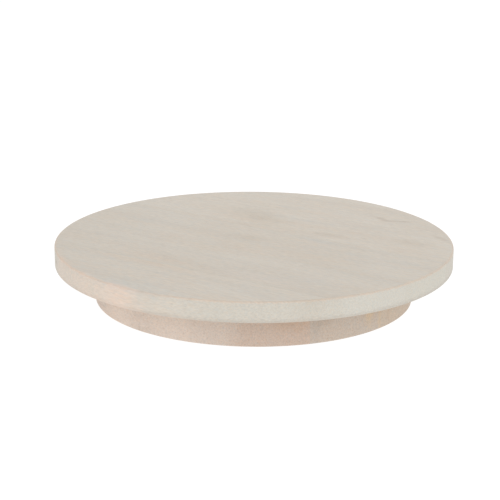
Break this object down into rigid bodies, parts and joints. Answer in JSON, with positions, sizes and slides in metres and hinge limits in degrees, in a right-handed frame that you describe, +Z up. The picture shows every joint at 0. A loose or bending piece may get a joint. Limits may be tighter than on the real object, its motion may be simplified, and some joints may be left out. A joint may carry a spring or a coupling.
{
  "type": "pottery turntable",
  "caption": "Round limed-wood pottery turntable: a wide, thin head board turns on a smaller round base over a hidden flat ball bearing.",
  "frame": {"origin": "middle of the round footprint, on the plane of the pads' undersides, which is the plane the turntable stands on", "axes": "+Z up, along the axis that the head turns about; -Y faces the side seen in the picture, +X is to the right of it"},
  "size_m": [0.25, 0.25, 0.0372],
  "materials": {
    "limed_wood_head": "whitewashed, matt, fine sanded",
    "limed_wood_base": "whitewashed, matt, warmer where the wash is thin",
    "zinc_plated_steel": "zinc plated pressed sheet",
    "polished_steel": "polished",
    "screw_steel": "zinc plated",
    "black_rubber": "matt moulded rubber"
  },
  "bodies": {
    "base": {"base_stave_1": "limed_wood_base", "base_stave_2": "limed_wood_base", "base_stave_3": "limed_wood_base", "base_stave_4": "limed_wood_base", "bearing_lower_plate": "zinc_plated_steel", "base_screws": "screw_steel", "rubber_pad_1": "black_rubber", "rubber_pad_2": "black_rubber", "rubber_pad_3": "black_rubber", "rubber_pad_4": "black_rubber"},
    "head": {"head_stave_1": "limed_wood_head", "head_stave_2": "limed_wood_head", "head_stave_3": "limed_wood_head", "head_stave_4": "limed_wood_head", "head_stave_5": "limed_wood_head", "bearing_upper_plate": "zinc_plated_steel", "bearing_outer_race": "zinc_plated_steel", "head_screws": "screw_steel"},
    "balls": {"bearing_balls": "polished_steel"}
  },
  "joints": [
    {"name": "head_spin", "type": "hinge", "parent": "base", "child": "head", "pos_m": [0, 0, 0.0205], "axis": [0, 0, 1], "continuous": true},
    {"name": "ball_orbit", "type": "hinge", "parent": "base", "child": "balls", "pos_m": [0, 0, 0.0205], "axis": [0, 0, 1], "continuous": true}
  ],
  "couplings": [
    {"joint": "ball_orbit", "follows": "head_spin", "ratio": 0.5}
  ]
}
